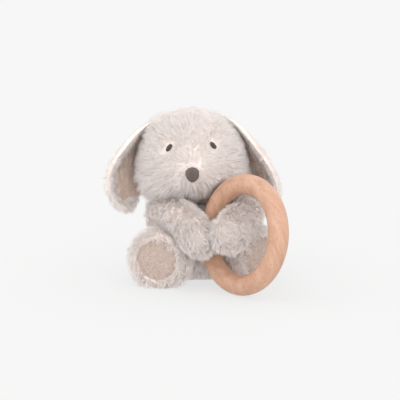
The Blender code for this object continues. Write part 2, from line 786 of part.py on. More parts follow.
def build_ring(parent):
    across, rise, normal, center = ring_frame()
    turn = Matrix((across, rise, normal)).transposed()
    bm = bmesh.new()
    loops = RING_LOOPS
    sides = 12
    rows = []
    for k in range(loops):
        angle = 2 * math.pi * k / loops
        out = Vector((math.cos(angle), math.sin(angle), 0))
        points = circle(out * (RING_OUTER_R - RING_TUBE_R), out, Vector((0, 0, 1)), RING_TUBE_R, RING_TUBE_R, sides)
        rows.append([bm.verts.new(point) for point in points])
    for k in range(loops):
        band(bm, rows[k], rows[(k + 1) % loops])
    piece("ring", "beech", bm, center, parent, turn)


def build_paw_stitch(left, right, parent):
    """Thread that ties the two paws together in front of the ring."""
    gap_start = PAW_R + GAP
    along = (left.end - right.end).normalized()
    length = (left.end - right.end).length
    side = along.cross(Vector((0, 0, 1))).normalized()
    up = side.cross(along)
    rings = []
    for reach in (gap_start, length - gap_start):
        rings.append(circle(right.end + along * reach, side, up, PAW_STITCH_R, PAW_STITCH_R, 8))
    bm = bmesh.new()
    rows = skin(bm, rings)
    cap(bm, rows[0])
    cap(bm, rows[1])
    piece("paw_stitch", "stitch", bm, right.end + along * (length / 2), parent)


def build():
    clear_scene()
    arms = {side: arm(side) for side in ("left", "right")}
    legs = {side: leg(side) for side in ("left", "right")}
    wag = tail()
    sockets = [wag.room("tail_room", "Z", (-TAIL_WAG, 0.0, TAIL_WAG), 1.0)]
    for side, sign in (("left", 1), ("right", -1)):
        sockets.append(arms[side].room(f"arm_{side}_room", "X", (0.0, -ARM_LIFT), 0.5))
        swings = [math.radians(sign * swing) for swing in LEG_SWING[side]]
        sockets.append(legs[side].room(f"leg_{side}_room", "Z", swings, 0.62))
    build_body(sockets)
    build_seat()
    build_rattle()

    neck = pivot("neck_pivot", NECK_PIVOT)
    build_neck(neck)
    build_head(neck)

    shoulders = (arms["left"].root + arms["right"].root) * 0.5
    arms_pivot = pivot("arms_pivot", shoulders)
    for side, limb in arms.items():
        build_limb(f"arm_{side}", limb, arms_pivot)
    build_paw_stitch(arms["left"], arms["right"], arms_pivot)
    build_ring(arms_pivot)

    for side, limb in legs.items():
        hip = pivot(f"hip_{side}", limb.root)
        build_limb(f"leg_{side}", limb, hip)
        build_sole(f"sole_{side}", limb, hip)
    tail_pivot = pivot("tail_pivot", wag.root)
    build_limb("tail", wag, tail_pivot)


build()
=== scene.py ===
"""Looks of a plush puppy that hugs a wooden ring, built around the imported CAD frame."""

import json
import math

import bpy
import numpy as np
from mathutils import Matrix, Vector
from mathutils.bvhtree import BVHTree
from mathutils.kdtree import KDTree


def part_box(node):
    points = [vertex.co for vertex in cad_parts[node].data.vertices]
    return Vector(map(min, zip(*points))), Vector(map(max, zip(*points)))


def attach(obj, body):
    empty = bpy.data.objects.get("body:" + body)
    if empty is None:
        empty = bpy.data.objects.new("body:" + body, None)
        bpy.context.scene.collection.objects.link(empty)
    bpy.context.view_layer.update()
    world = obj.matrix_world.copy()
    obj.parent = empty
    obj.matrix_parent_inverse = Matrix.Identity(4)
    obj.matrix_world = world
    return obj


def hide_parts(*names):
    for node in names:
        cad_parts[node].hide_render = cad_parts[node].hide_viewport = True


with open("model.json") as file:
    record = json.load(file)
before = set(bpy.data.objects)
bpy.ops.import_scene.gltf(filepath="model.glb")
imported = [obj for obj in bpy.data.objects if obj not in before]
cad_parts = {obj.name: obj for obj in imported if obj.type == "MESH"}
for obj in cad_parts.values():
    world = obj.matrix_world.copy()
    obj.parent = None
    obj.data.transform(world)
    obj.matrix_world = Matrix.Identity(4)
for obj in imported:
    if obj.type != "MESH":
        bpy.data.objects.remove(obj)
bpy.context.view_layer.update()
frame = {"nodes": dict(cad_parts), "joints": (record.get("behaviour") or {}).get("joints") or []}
NODES = frame["nodes"]
MM = 0.001

# ------------------------------------------------------------------ sizes
VOXEL = 0.9 * MM            # of the skins
PILE = 3.9 * MM             # length of the long pile
HAIR = 0.13 * MM            # radius of a tuft of hair at its root
CURL = 0.35                 # how far the pile wanders from its comb
DENSITY = 3.3e6             # tufts per square metre
NAP_DENSITY = 9e6
MOST_TUFTS = 21000          # in one piece, 9 triangles each
FLOOR_CLEAR = 0.15 * MM     # least height of a hair's tip; its middle and root stay higher
RING_CLEAR = 0.25 * MM      # between a hair and the wood
SHORTEST = 0.35 * MM        # a hair with less room than this is left out
NOSE_CLEAR = 4.0 * MM       # no long pile grows this close to the middle of the nose
EYE_CLEAR = 1.6 * MM
SOLE_R = 12.2 * MM          # to the seam round a sole
SOLE_CLEAR = 12.4 * MM      # the foot's long pile starts outside this
SOLE_EDGE = 2.5 * MM        # how far up the foot the sole's edge reaches
COVER_NEAR = 1.1 * MM       # the ear's pile starts this far from its lining
SHOULDERS = (0, 0, 0.039)   # where the comb of both arms starts
RING_LOOPS, RING_SIDES = 160, 40
RING_GRAIN_TURN = 0.35      # radians


# ------------------------------------------------------------------ meshes
def points_of(obj):
    co = np.empty(len(obj.data.vertices) * 3)
    obj.data.vertices.foreach_get("co", co)
    return co.reshape(-1, 3)


def triangles_of(mesh):
    mesh.calc_loop_triangles()
    found = np.empty(len(mesh.loop_triangles) * 3, np.int32)
    mesh.loop_triangles.foreach_get("vertices", found)
    return found.reshape(-1, 3)


def new_mesh(name, points, faces):
    """An object in metres from points, and faces that all have the same number of corners."""
    mesh = bpy.data.meshes.new(name)
    count = faces.shape[1]
    mesh.vertices.add(len(points))
    mesh.vertices.foreach_set("co", np.ascontiguousarray(points, np.float32).ravel())
    mesh.loops.add(faces.size)
    mesh.loops.foreach_set("vertex_index", np.ascontiguousarray(faces, np.int32).ravel())
    mesh.polygons.add(len(faces))
    mesh.polygons.foreach_set("loop_start", np.arange(0, faces.size, count, dtype=np.int32))
    mesh.update(calc_edges=True)
    mesh.shade_smooth()
    obj = bpy.data.objects.new(name, mesh)
    bpy.context.scene.collection.objects.link(obj)
    return obj


def applied(obj):
    """Bake an object's modifiers into its mesh."""
    graph = bpy.context.evaluated_depsgraph_get()
    graph.update()
    mesh = bpy.data.meshes.new_from_object(obj.evaluated_get(graph))
    old = obj.data
    obj.modifiers.clear()
    obj.data = mesh
    bpy.data.meshes.remove(old)
    mesh.name = obj.name
    mesh.shade_smooth()
    return obj


def skin(name, nodes, voxel=VOXEL, relax=6):
    """One outer surface round several CAD solids, with the gaps between them closed."""
    points, faces, start = [], [], 0
    for node in nodes:
        co = points_of(NODES[node])
        points.append(co)
        faces.append(triangles_of(NODES[node].data) + start)
        start += len(co)
    obj = new_mesh(name, np.concatenate(points), np.concatenate(faces))
    mod = obj.modifiers.new("voxels", "REMESH")
    mod.mode = "VOXEL"
    mod.voxel_size = voxel
    mod = obj.modifiers.new("relax", "SMOOTH")
    mod.factor = 0.5
    mod.iterations = relax
    return applied(obj)


CLOTH = {"quality": 4, "mass": 0.15, "use_pressure": True,
         "tension_stiffness": 12, "compression_stiffness": 12, "bending_stiffness": 0.3}
CLOTH_FRAMES = 14


def puffed(obj, pressure, cap):
    """Inflate a cover like a sewn cushion, moving no point further than cap or into the floor."""
    rest = points_of(obj)
    mod = obj.modifiers.new("puff", "CLOTH")
    for key, value in CLOTH.items():
        setattr(mod.settings, key, value)
    mod.settings.uniform_pressure_force = pressure
    mod.settings.effector_weights.gravity = 0
    scene = bpy.context.scene
    for k in range(1, CLOTH_FRAMES + 1):
        scene.frame_set(k)
    graph = bpy.context.evaluated_depsgraph_get()
    moved = points_of(obj.evaluated_get(graph)) - rest
    obj.modifiers.clear()
    scene.frame_set(1)
    reach = np.linalg.norm(moved, axis=1, keepdims=True)
    moved *= np.minimum(1.0, cap / np.maximum(reach, 1e-9))
    placed = rest + moved
    placed[:, 2] = np.maximum(placed[:, 2], FLOOR_CLEAR)
    obj.data.vertices.foreach_set("co", placed.astype(np.float32).ravel())
    obj.data.update()
    return obj


def vertex_normals(obj):
    found = np.empty(len(obj.data.vertices) * 3)
    obj.data.vertex_normals.foreach_get("vector", found)
    return found.reshape(-1, 3)


def tree_of(*objs):
    """A search tree over the faces of several objects."""
    points, faces, start = [], [], 0
    for obj in objs:
        co = points_of(obj)
        points.append(co)
        faces.append(triangles_of(obj.data) + start)
        start += len(co)
    return BVHTree.FromPolygons(np.concatenate(points).tolist(), np.concatenate(faces).tolist())


def unit(v):
    return v / np.maximum(np.linalg.norm(v, axis=-1, keepdims=True), 1e-12)


def smooth(low, high, x):
    """A soft step from 0 at low to 1 at high."""
    x = np.clip((x - low) / (high - low), 0.0, 1.0)
    return x * x * (3 - 2 * x)


def waves(points, size, seed, count=9):
    """Smooth noise from -1 to 1, from waves in many directions."""
    rng = np.random.default_rng(seed)
    total = np.zeros(len(points))
    for _ in range(count):
        way = unit(rng.normal(size=3)) * (2 * math.pi / (size * rng.uniform(0.7, 1.5)))
        total += np.sin(points @ way + rng.uniform(0, 2 * math.pi))
    return np.clip(total / math.sqrt(count), -1.6, 1.6) / 1.6


def waves3(points, size, seed):
    return np.stack([waves(points, size, seed + k) for k in range(3)], -1)


# ------------------------------------------------------------------ materials
class Shader:
    """A Principled material and short ways to add nodes to it."""

    def __init__(self, name, roughness=0.9, **constants):
        self.mat = bpy.data.materials.new(name)
        self.mat.use_nodes = True
        self.tree = self.mat.node_tree
        self.main = self.tree.nodes["Principled BSDF"]
        self.main.inputs["Roughness"].default_value = roughness
        for key, value in constants.items():
            self.main.inputs[key.replace("_", " ")].default_value = value

    def node(self, kind, inputs=None, **settings):
        made = self.tree.nodes.new(kind)
        for key, value in settings.items():
            setattr(made, key, value)
        for key, value in (inputs or {}).items():
            if isinstance(value, bpy.types.NodeSocket):
                self.tree.links.new(value, made.inputs[key])
            else:
                made.inputs[key].default_value = value
        return made

    def link(self, source, name):
        self.tree.links.new(source, self.main.inputs[name])

    def coords(self, rotation=(0, 0, 0)):
        """Object coordinates, which stay with the piece as it moves."""
        place = self.node("ShaderNodeTexCoord").outputs["Object"]
        return self.node("ShaderNodeMapping", {"Vector": place, "Rotation": rotation}).outputs[0]

    def noise(self, scale, vector=None, detail=3.0):
        vector = self.coords() if vector is None else vector
        values = {"Vector": vector, "Scale": scale, "Detail": detail, "Roughness": 0.55}
        return self.node("ShaderNodeTexNoise", values).outputs["Fac"]

    def grain(self, vector, scale, detail):
        """Noise stretched by a scale of its own along each axis."""
        stretched = self.node("ShaderNodeMapping", {"Vector": vector, "Scale": scale})
        return self.noise(1.0, stretched.outputs[0], detail)

    def attribute(self, name):
        return self.node("ShaderNodeAttribute", attribute_name=name).outputs["Fac"]

    def ramp(self, factor, *stops):
        made = self.node("ShaderNodeValToRGB", {"Fac": factor})
        marks = made.color_ramp.elements
        while len(marks) < len(stops):
            marks.new(0.5)
        for mark, (place, color) in zip(marks, stops):
            mark.position = place
            mark.color = (*color, 1)
        return made.outputs["Color"]

    def mix(self, factor, a, b, blend="MIX"):
        made = self.node("ShaderNodeMix", data_type="RGBA", blend_type=blend)
        for key, value in (("Factor_Float", factor), ("A_Color", a), ("B_Color", b)):
            socket = [s for s in made.inputs if s.identifier == key][0]
            if isinstance(value, bpy.types.NodeSocket):
                self.tree.links.new(value, socket)
            else:
                socket.default_value = (*value, 1) if isinstance(value, tuple) else value
        return [s for s in made.outputs if s.identifier == "Result_Color"][0]

    def bump(self, height, strength, distance):
        made = self.node("ShaderNodeBump", {"Height": height, "Strength": strength, "Distance": distance})
        self.link(made.outputs["Normal"], "Normal")


WOOD_DARK = (0.465, 0.260, 0.172)
WOOD_MIDDLE = (0.535, 0.318, 0.220)
WOOD_LIGHT = (0.588, 0.370, 0.268)
PALE = (0.985, 0.930, 0.905)        # of the long pile, from its tip
# painted shade deep in the pile: darker and warmer towards the root
PAINTED_HALF_SHADE = (0.960, 0.890, 0.860)
PAINTED_ROOT_SHADE = (0.915, 0.835, 0.800)


def fur_material(name="plush_fur"):
    """Pale pile, paler at the tip, with painted shade that darkens and warms it towards the root, and with
    soft patches.
    """
    s = Shader(name, 0.95, Sheen_Weight=0.25, Sheen_Roughness=0.6, Sheen_Tint=(1.0, 0.95, 0.93, 1.0),
               Specular_IOR_Level=0.15)
    # painted shade: the pile darkens and warms from its tip down to its root
    along = s.ramp(s.attribute("rise"), (0.0, PAINTED_ROOT_SHADE), (0.45, PAINTED_HALF_SHADE), (0.95, PALE))
    tone = s.ramp(s.attribute("tint"), (0.0, (0.93, 0.915, 0.905)), (1.0, (1.0, 1.0, 1.0)))
    s.link(s.mix(1.0, along, tone, "MULTIPLY"), "Base Color")
    return s.mat


def skin_material(name="plush_backing"):
    """Knitted backing that the pile stands on."""
    s = Shader(name, 0.97, Specular_IOR_Level=0.1)
    patches = s.noise(900, detail=4)
    s.link(s.ramp(patches, (0.3, (0.86, 0.77, 0.73)), (0.7, (0.92, 0.84, 0.80))), "Base Color")
    s.bump(s.noise(2400), 0.5, 0.0004)
    return s.mat


def nap_material(name, dark, light):
    """Short pile of the linings and soles."""
    s = Shader(name, 0.95, Sheen_Weight=0.2, Sheen_Roughness=0.5, Specular_IOR_Level=0.1)
    tone = s.mix(s.attribute("rise"), dark, light)
    patches = s.ramp(s.attribute("tint"), (0.0, (0.84, 0.80, 0.78)), (1.0, (1.0, 1.0, 1.0)))
    s.link(s.mix(1.0, tone, patches, "MULTIPLY"), "Base Color")
    return s.mat


def thread_material(name, dark, light):
    """Thread with a fine twist, whose stitches differ a little in tone."""
    s = Shader(name, 0.6, Sheen_Weight=0.3, Sheen_Roughness=0.4, Specular_IOR_Level=0.35)
    fibre = s.noise(5200, detail=2)
    tone = s.mix(fibre, dark, light)
    patches = s.ramp(s.attribute("tint"), (0.0, (0.72, 0.72, 0.72)), (1.0, (1.0, 1.0, 1.0)))
    s.link(s.mix(1.0, tone, patches, "MULTIPLY"), "Base Color")
    return s.mat


def wood_material():
    """Oiled beech: broad soft bands, fine long pores and short dark ray flecks along the grain."""
    s = Shader("beech", 0.42, Coat_Weight=0.12, Coat_Roughness=0.3, Specular_IOR_Level=0.42)
    turned = s.coords(rotation=(0.15, RING_GRAIN_TURN, 0.9))
    band = s.grain(turned, (160, 420, 26), 3)
    pore = s.grain(turned, (2600, 2600, 190), 2)
    fleck = s.grain(turned, (1500, 2100, 260), 1)
    base = s.ramp(band, (0.3, WOOD_DARK), (0.52, WOOD_MIDDLE), (0.72, WOOD_LIGHT))
    pores = s.ramp(pore, (0.36, (0.90, 0.84, 0.78)), (0.52, (1.0, 1.0, 1.0)))
    flecks = s.ramp(fleck, (0.27, (0.70, 0.56, 0.46)), (0.33, (1.0, 1.0, 1.0)))
    color = s.mix(1.0, s.mix(1.0, base, pores, "MULTIPLY"), flecks, "MULTIPLY")
    s.link(color, "Base Color")
    rough = s.node("ShaderNodeMapRange", {"Value": pore, "To Min": 0.52, "To Max": 0.40})
    s.link(rough.outputs[0], "Roughness")
    s.bump(pore, 0.08, 0.0002)
    return s.mat


def plain_detail(name, dark, light, roughness, grain, bump=0.1):
    """Moulded or matted stuff with fine mottling."""
    s = Shader(name, roughness, Specular_IOR_Level=0.4)
    patches = s.noise(grain, detail=3)
    s.link(s.ramp(patches, (0.3, dark), (0.7, light)), "Base Color")
    s.bump(s.noise(grain * 4), bump, 0.0002)
    return s.mat


FUR = fur_material()
BACKING = skin_material()
LINING_BACK = plain_detail("ear_lining", (0.52, 0.38, 0.32), (0.64, 0.49, 0.42), 0.95, 700)
LINING_NAP = nap_material("ear_lining_nap", (0.78, 0.60, 0.50), (0.98, 0.84, 0.74))
SOLE_BACK = plain_detail("sole_fabric", (0.50, 0.39, 0.34), (0.60, 0.48, 0.43), 0.95, 800)
SOLE_NAP = nap_material("sole_nap", (0.66, 0.53, 0.465), (0.95, 0.84, 0.77))
THREAD = thread_material("embroidery", (0.040, 0.030, 0.026), (0.115, 0.092, 0.082))
NOSE_THREAD = thread_material("nose_thread", (0.084, 0.062, 0.056), (0.200, 0.157, 0.142))
TIE_THREAD = thread_material("tie_thread", (0.42, 0.33, 0.30), (0.62, 0.52, 0.48))
WOOD = wood_material()


# ------------------------------------------------------------------ places in the frame
def node_center(name):
    low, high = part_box(name)
    return np.array((low + high) / 2)


RING = points_of(NODES["ring"])
RING_CENTER = RING.mean(axis=0)
RING_AXIS = np.linalg.svd(RING - RING_CENTER, full_matrices=False)[2][2]
RING_AXIS *= -np.sign(RING_AXIS[1])
offsets = RING - RING_CENTER
spans = np.linalg.norm(offsets - np.outer(offsets @ RING_AXIS, RING_AXIS), axis=1)
TUBE_R = (spans.max() - spans.min()) / 2
RING_R = (spans.max() + spans.min()) / 2
NOSE = node_center("nose")
EYES = [node_center("eye_left"), node_center("eye_right")]
HEAD_LOW, HEAD_HIGH = (np.array(c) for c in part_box("head_stuffing"))
HEAD_MIDDLE = (HEAD_LOW + HEAD_HIGH) / 2
SIDES = ("left", "right")
EAR_OUT = {}        # from the lining to the outer face
for side in SIDES:
    EAR_OUT[side] = unit((node_center(f"ear_{side}_outer") - node_center(f"ear_{side}_lining")) * (1, 1, 0.2))


def ring_distance(points):
    """How far points are outside the wooden tube, and the way straight off it."""
    d = points - RING_CENTER
    height = d @ RING_AXIS
    flat = d - height[:, None] * RING_AXIS
    line = unit(flat) * RING_R
    off = d - line
    far = np.linalg.norm(off, axis=1)
    return far - TUBE_R, off / np.maximum(far, 1e-9)[:, None]


# ------------------------------------------------------------------ pile
def scattered(obj, density, rng):
    """Random roots on a surface, with their normals."""
    points, normals, faces = points_of(obj), vertex_normals(obj), triangles_of(obj.data)
    a, b, c = (points[faces[:, k]] for k in range(3))
    areas = np.linalg.norm(np.cross(b - a, c - a), axis=1) / 2
    count = int(areas.sum() * density)
    chosen = rng.choice(len(faces), count, p=areas / areas.sum())
    u, v = rng.random((2, count))
    over = u + v > 1
    u[over], v[over] = 1 - u[over], 1 - v[over]
    weights = np.stack([1 - u - v, u, v], -1)
    picked = faces[chosen]
    roots = sum(points[picked[:, k]] * weights[:, k:k + 1] for k in range(3))
    ways = unit(sum(normals[picked[:, k]] * weights[:, k:k + 1] for k in range(3)))
    return roots, ways


def tangent(ways, normals):
    return ways - np.sum(ways * normals, axis=1, keepdims=True) * normals


def free_length(roots, ways, lengths, tree, keep=0.75, least=0.9 * MM):
    """Shorten hairs that would run into a neighbour, and mark those with no room as 0."""
    found = lengths.copy()
    for k in range(len(roots)):
        hit = tree.ray_cast(Vector(roots[k]), Vector(ways[k]), lengths[k] * 1.6)[3]
        if hit is not None:
            found[k] = 0.0 if hit < least else min(found[k], hit * keep + 0.2 * MM)
    return found


TUFT_FACES = np.array([[0, 1, 4], [0, 4, 3], [1, 2, 5], [1, 5, 4], [2, 0, 3], [2, 3, 5],
                       [3, 4, 6], [4, 5, 6], [5, 3, 6]])
TUFT_RISE = [0, 0, 0, .6, .6, .6, 1.0]      # of each point, from root to tip
TUFT_MAP = np.array([(.15, .1), (.85, .1), (.5, .1), (.15, .6), (.85, .6), (.5, .6), (.5, .95)])
TUFT_WAIST = 0.78                           # width at the middle of a tuft, of that at its root


def tuft_mesh(name, lines, radii, tint, material, body):
    """Three-sided tapering hairs along lines of three points each, split into pieces of a fair size."""
    order = np.argsort(lines[:, 0, 0], kind="stable")
    parts = max(1, math.ceil(len(order) / MOST_TUFTS))
    made = []
    for part, rows in enumerate(np.array_split(order, parts)):
        line, radius, shade = lines[rows], radii[rows], tint[rows]
        count = len(rows)
        along = unit(line[:, 2] - line[:, 0])
        side = unit(np.cross(along, np.roll(along, 1, axis=1) + (0.31, 0.17, 0.71)))
        third = np.cross(along, side)
        spin = shade * 7.0
        ring = []
        for k in range(3):
            angle = spin + 2 * math.pi * k / 3
            ring.append(side * np.cos(angle)[:, None] + third * np.sin(angle)[:, None])
        ring = np.stack(ring, 1)
        points = np.empty((count, 7, 3))
        points[:, 0:3] = line[:, 0:1] + ring * radius[:, None, None]
        points[:, 3:6] = line[:, 1:2] + ring * radius[:, None, None] * TUFT_WAIST
        points[:, 6] = line[:, 2]
        faces = (TUFT_FACES[None] + np.arange(count)[:, None, None] * 7).reshape(-1, 3)
        obj = new_mesh(name if parts == 1 else f"{name}_{part + 1}", points.reshape(-1, 3), faces)
        mesh = obj.data
        for key, values in (("rise", np.tile(TUFT_RISE, count)), ("tint", np.repeat(shade, 7))):
            mesh.attributes.new(key, "FLOAT", "POINT").data.foreach_set("value", values.astype(np.float32))
        cells = math.ceil(math.sqrt(count))
        grid = np.stack([np.arange(count) % cells, np.arange(count) // cells], -1)
        uv = ((grid[:, None] + TUFT_MAP[None]) / cells).reshape(-1, 2)
        layer = mesh.uv_layers.new(name="OFBake")
        layer.data.foreach_set("uv", uv[faces.ravel()].astype(np.float32).ravel())
        mesh.materials.append(material)
        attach(obj, body)
        made.append(obj)
    return made


def pelt(name, surface, body, comb, length, others, seed, density=DENSITY, lean=0.65, hair=HAIR, clump=0.5,
         clump_size=1.5 * MM, keep=None, droop=0.15, material=FUR, sink=0.4 * MM,
         mottle=9 * MM, stretch=(1, 1, 1), depth=0.3):
    """Pile on a surface, in locks. comb and length give a way and a length for each root, keep the
    roots that stay, and others the tree of neighbours that the hairs stop at. lean, droop and sink
    say how much a hair leans, hangs and starts under the surface; mottle, stretch and depth give the
    size, shape and strength of the patches in its tone.
    """
    rng = np.random.default_rng(seed)
    roots, normals = scattered(surface, density, rng)
    if keep is not None:
        kept = keep(roots, normals)
        roots, normals = roots[kept], normals[kept]
    ways = tangent(comb(roots, normals), normals)
    ways += tangent(waves3(roots, 7 * MM, seed + 10), normals) * CURL
    ways += tangent(waves3(roots, 2.6 * MM, seed + 20), normals) * CURL * 0.7
    ways += rng.normal(size=roots.shape) * 0.12
    start = unit(normals + ways * lean)
    reach = length(roots, normals) * (1 + 0.22 * waves(roots, 5 * MM, seed + 30))
    reach *= rng.uniform(0.75, 1.12, len(roots))
    if others is not None:
        reach = free_length(roots + normals * 0.1 * MM, start, reach, others)
    alive = reach > SHORTEST
    roots, normals, ways, start, reach = (a[alive] for a in (roots, normals, ways, start, reach))
    lines = np.empty((len(roots), 3, 3))
    for k, s in enumerate((0.0, 0.55, 1.0)):
        bend = (ways * 0.35 - np.array((0, 0, droop))) * (s * s)
        lines[:, k] = roots - normals * sink * (s == 0) + (start * s + bend) * reach[:, None]
    count = max(1, int(len(roots) * clump_size ** -2 / density * 0.9))
    leads = rng.choice(len(roots), min(count, len(roots)), replace=False)
    tree = KDTree(len(leads))
    for k, lead in enumerate(leads):
        tree.insert(roots[lead], k)
    tree.balance()
    nearest = leads[[tree.find(root)[1] for root in roots]]
    pull = clump * rng.uniform(0.5, 1.1, len(roots))
    for k, s in ((1, 0.35), (2, 1.0)):
        target = lines[nearest, k] * 0.8 + lines[:, k] * 0.2
        lines[:, k] += (target - lines[:, k]) * (pull * s)[:, None]
    for k in (1, 2):
        for _ in range(2):
            far, off = ring_distance(lines[:, k])
            short = np.clip(RING_CLEAR - far, 0, TUBE_R * 2)
            lines[:, k] += off * short[:, None]
    for k in (0, 1, 2):
        lines[:, k, 2] = np.maximum(lines[:, k, 2], FLOOR_CLEAR * (3 - k))
    radii = hair * rng.uniform(0.8, 1.25, len(roots)) * np.clip(reach / PILE, 0.55, 1.0)
    tint = 0.55 + depth * waves(roots * stretch, mottle, seed + 40) + rng.normal(0, 0.16, len(roots))
    return tuft_mesh(name, lines, radii, np.clip(tint, 0, 1), material, body)


# ------------------------------------------------------------------ skins
def soft(name, nodes, body, material=BACKING, slot="plush_fur", fill=0.7, puff=None, **options):
    """A padded skin that stands for some CAD nodes."""
    obj = skin(name, nodes, **options)
    if puff:
        puffed(obj, *puff)
    obj.data.materials.clear()
    obj.data.materials.append(material)
    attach(obj, body)
    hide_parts(*nodes)
    return obj


PUFF = (4.0, 0.5 * MM)
head = soft("head", ["head_panel_left", "head_panel_right", "head_stuffing"], "head", fill=0.8, puff=PUFF)
torso = soft("torso", ["body_panel_front", "body_panel_back", "seat_panel", "body_stuffing_front",
                       "body_stuffing_back"], "torso", puff=PUFF)
neck = soft("neck_wad", ["neck_stuffing"], "neck", relax=3)
arms = {side: soft(f"arm_{side}", [f"arm_{side}_cover", f"arm_{side}_stuffing"], "arms", puff=PUFF)
        for side in SIDES}
legs = {side: soft(f"leg_{side}", [f"leg_{side}_cover", f"leg_{side}_stuffing"], f"leg_{side}", puff=PUFF)
        for side in SIDES}
tail = soft("tail", ["tail_cover", "tail_stuffing"], "tail", relax=3)
ears = {side: soft(f"ear_{side}", [f"ear_{side}_outer"], f"ear_{side}", voxel=0.7 * MM, relax=3, fill=0.3)
        for side in SIDES}
linings = {side: soft(f"lining_{side}", [f"ear_{side}_lining"], f"ear_{side}", material=LINING_BACK,
                      slot="ear_lining", voxel=0.4 * MM, relax=4, fill=0.2) for side in SIDES}
soles = {side: soft(f"sole_pad_{side}", [f"sole_{side}"], f"leg_{side}", material=SOLE_BACK,
                    slot="sole_fabric", voxel=0.45 * MM, relax=5, fill=0.5) for side in SIDES}


def drawn_in(obj, ear, share=0.76, length_share=0.95):
    """Narrow a lining towards its edge next to the head, so that the pile of the ear frames it, and
    keep it lying on the ear."""
    co = points_of(obj)
    middle = co.mean(axis=0)
    axes = np.linalg.svd(co - middle, full_matrices=False)[2]
    parts = (co - middle) @ axes.T * (length_share, share, 1.0)
    parts[:, 1] -= np.sign(axes[1][0] * middle[0]) * np.abs(parts[:, 1]).max() / share * (1 - share)
    placed = middle + parts @ axes
    tree = tree_of(ear)
    for k in range(len(co)):
        spot, _, _, far = tree.find_nearest(Vector(placed[k]))
        off = min(far, tree.find_nearest(Vector(co[k]))[3])
        placed[k] = spot + (Vector(placed[k]) - spot) * (off / max(far, 1e-9))
    obj.data.vertices.foreach_set("co", placed.astype(np.float32).ravel())
    obj.data.update()


for side in SIDES:
    drawn_in(linings[side], ears[side])


def pucker(obj, center, way, radius, folds=19, height=0.3 * MM):
    """Small gathers where a round pad is sewn into the foot."""
    co = points_of(obj)
    rel = co - center
    flat = rel - (rel @ way)[:, None] * way
    side = unit(np.cross(way, (0, 0, 1.0)))
    theta = np.arctan2(flat @ np.cross(side, way), flat @ side)
    edge = smooth(0.58 * radius, 0.95 * radius, np.linalg.norm(flat, axis=1))
    lift = height * np.sin(folds * theta + 1.6 * np.sin(3 * theta)) * edge
    obj.data.vertices.foreach_set("co", (co + lift[:, None] * way).astype(np.float32).ravel())
    obj.data.update()


SOLE_WAY = {}       # from the hip to the sole
for side in SIDES:
    hip = np.array([j for j in frame["joints"] if j["child"] == f"leg_{side}"][0]["pos_m"])
    SOLE_WAY[side] = unit(node_center(f"sole_{side}") - hip)
    pucker(soles[side], node_center(f"sole_{side}"), SOLE_WAY[side], SOLE_R)


# ------------------------------------------------------------------ ring
def build_ring():
    """The CAD ring's torus again, with a fine mesh."""
    loops, sides = RING_LOOPS, RING_SIDES
    a = unit(np.cross(RING_AXIS, (0, 0, 1.0)))
    b = np.cross(RING_AXIS, a)
    u = np.repeat(np.arange(loops) * 2 * math.pi / loops, sides)
    v = np.tile(np.arange(sides) * 2 * math.pi / sides, loops)
    out = np.cos(u)[:, None] * a + np.sin(u)[:, None] * b
    points = RING_CENTER + out * (RING_R + TUBE_R * np.cos(v))[:, None]
    points += RING_AXIS * (TUBE_R * np.sin(v))[:, None]
    i, j = np.divmod(np.arange(loops * sides), sides)
    nxt_i, nxt_j = (i + 1) % loops, (j + 1) % sides
    faces = np.stack([i * sides + j, nxt_i * sides + j, nxt_i * sides + nxt_j, i * sides + nxt_j], -1)
    obj = new_mesh("wooden_ring", points, faces)
    obj.data.materials.append(WOOD)
    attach(obj, "ring")
    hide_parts("ring")
    return obj


wooden_ring = build_ring()


# ------------------------------------------------------------------ embroidery
THREAD_SIDES, THREAD_STEPS = 6, 9


